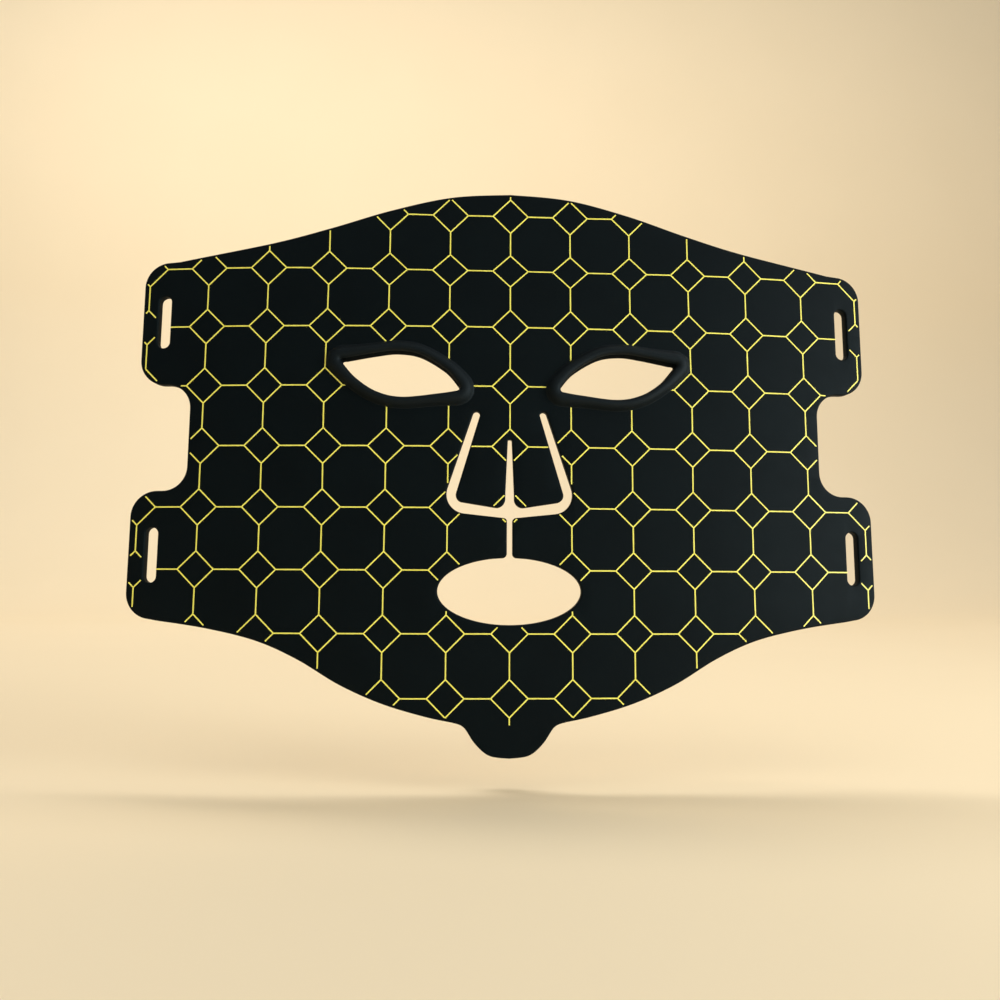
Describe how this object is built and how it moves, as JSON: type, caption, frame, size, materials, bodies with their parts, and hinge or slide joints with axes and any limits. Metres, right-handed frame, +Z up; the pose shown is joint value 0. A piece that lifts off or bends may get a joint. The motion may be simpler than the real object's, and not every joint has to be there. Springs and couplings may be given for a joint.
{
  "type": "led face mask",
  "caption": "Flexible silicone light-therapy face mask with eye, nose and mouth openings, slotted strap tabs and a charging socket behind the chin.",
  "frame": {"origin": "on the sheet's rear surface, on the nose bridge, level with the middle of the eyes", "axes": "+Z up the face, +Y towards the wearer's face and out of the back, +X to the right as seen from the front"},
  "size_m": [0.2764, 0.0138, 0.2077],
  "materials": {
    "front_silicone": "matte black silicone, printed in yellow",
    "rear_silicone": "milky clear silicone",
    "guard_silicone": "satin dark slate silicone",
    "circuit_film": "amber polyimide film",
    "led_package": "white package with a pale yellow window",
    "housing_plastic": "fine matte black",
    "socket_steel": "plated sheet steel",
    "board": "green solder mask"
  },
  "bodies": {
    "centre": {"centre_front_skin": "front_silicone", "centre_rear_skin": "rear_silicone", "centre_flex_circuit": "circuit_film", "forehead_led_array": "led_package", "nose_bridge_led_array": "led_package", "left_cheek_led_array": "led_package", "right_cheek_led_array": "led_package", "chin_led_array": "led_package", "left_eye_guard": "guard_silicone", "right_eye_guard": "guard_silicone", "socket_housing": "housing_plastic", "socket_shell": "socket_steel", "socket_tongue": "housing_plastic", "socket_board": "board", "circuit_tail": "circuit_film"},
    "left_wing": {"left_wing_front_skin": "front_silicone", "left_wing_rear_skin": "rear_silicone", "left_wing_flex_circuit": "circuit_film", "left_wing_led_array": "led_package"},
    "left_upper_tab": {"left_upper_tab_front_skin": "front_silicone", "left_upper_tab_rear_skin": "rear_silicone"},
    "left_lower_tab": {"left_lower_tab_front_skin": "front_silicone", "left_lower_tab_rear_skin": "rear_silicone"},
    "left_nose_flap": {"left_nose_flap_front_skin": "front_silicone", "left_nose_flap_rear_skin": "rear_silicone", "left_nose_flap_flex_circuit": "circuit_film", "left_nose_flap_led": "led_package"},
    "right_wing": {"right_wing_front_skin": "front_silicone", "right_wing_rear_skin": "rear_silicone", "right_wing_flex_circuit": "circuit_film", "right_wing_led_array": "led_package"},
    "right_upper_tab": {"right_upper_tab_front_skin": "front_silicone", "right_upper_tab_rear_skin": "rear_silicone"},
    "right_lower_tab": {"right_lower_tab_front_skin": "front_silicone", "right_lower_tab_rear_skin": "rear_silicone"},
    "right_nose_flap": {"right_nose_flap_front_skin": "front_silicone", "right_nose_flap_rear_skin": "rear_silicone", "right_nose_flap_flex_circuit": "circuit_film", "right_nose_flap_led": "led_package"}
  },
  "joints": [
    {"name": "left_wing_bend", "type": "hinge", "parent": "centre", "child": "left_wing", "pos_m": [-0.07312, 0.00206, 0], "axis": [0, 0, -1], "range_deg": [-6, 60], "stiffness_Nm_per_rad": 0.04},
    {"name": "left_upper_tab_bend", "type": "hinge", "parent": "left_wing", "child": "left_upper_tab", "pos_m": [-0.11812, 0.00598, 0.022], "axis": [0, 0, -1], "range_deg": [-6, 45], "stiffness_Nm_per_rad": 0.03},
    {"name": "left_lower_tab_bend", "type": "hinge", "parent": "left_wing", "child": "left_lower_tab", "pos_m": [-0.11812, 0.00598, -0.061], "axis": [0, 0, -1], "range_deg": [-6, 45], "stiffness_Nm_per_rad": 0.03},
    {"name": "left_nose_flap_bend", "type": "hinge", "parent": "centre", "child": "left_nose_flap", "pos_m": [0, -0.0032, -0.02], "axis": [-0.7607, 0.003, 0.6491], "range_deg": [-5, 30], "stiffness_Nm_per_rad": 0.015},
    {"name": "right_wing_bend", "type": "hinge", "parent": "centre", "child": "right_wing", "pos_m": [0.07312, 0.00206, 0], "axis": [0, 0, 1], "range_deg": [-6, 60], "stiffness_Nm_per_rad": 0.04},
    {"name": "right_upper_tab_bend", "type": "hinge", "parent": "right_wing", "child": "right_upper_tab", "pos_m": [0.11812, 0.00598, 0.022], "axis": [0, 0, 1], "range_deg": [-6, 45], "stiffness_Nm_per_rad": 0.03},
    {"name": "right_lower_tab_bend", "type": "hinge", "parent": "right_wing", "child": "right_lower_tab", "pos_m": [0.11812, 0.00598, -0.061], "axis": [0, 0, 1], "range_deg": [-6, 45], "stiffness_Nm_per_rad": 0.03},
    {"name": "right_nose_flap_bend", "type": "hinge", "parent": "centre", "child": "right_nose_flap", "pos_m": [0, -0.0032, -0.02], "axis": [-0.7607, -0.003, -0.6491], "range_deg": [-5, 30], "stiffness_Nm_per_rad": 0.015}
  ]
}
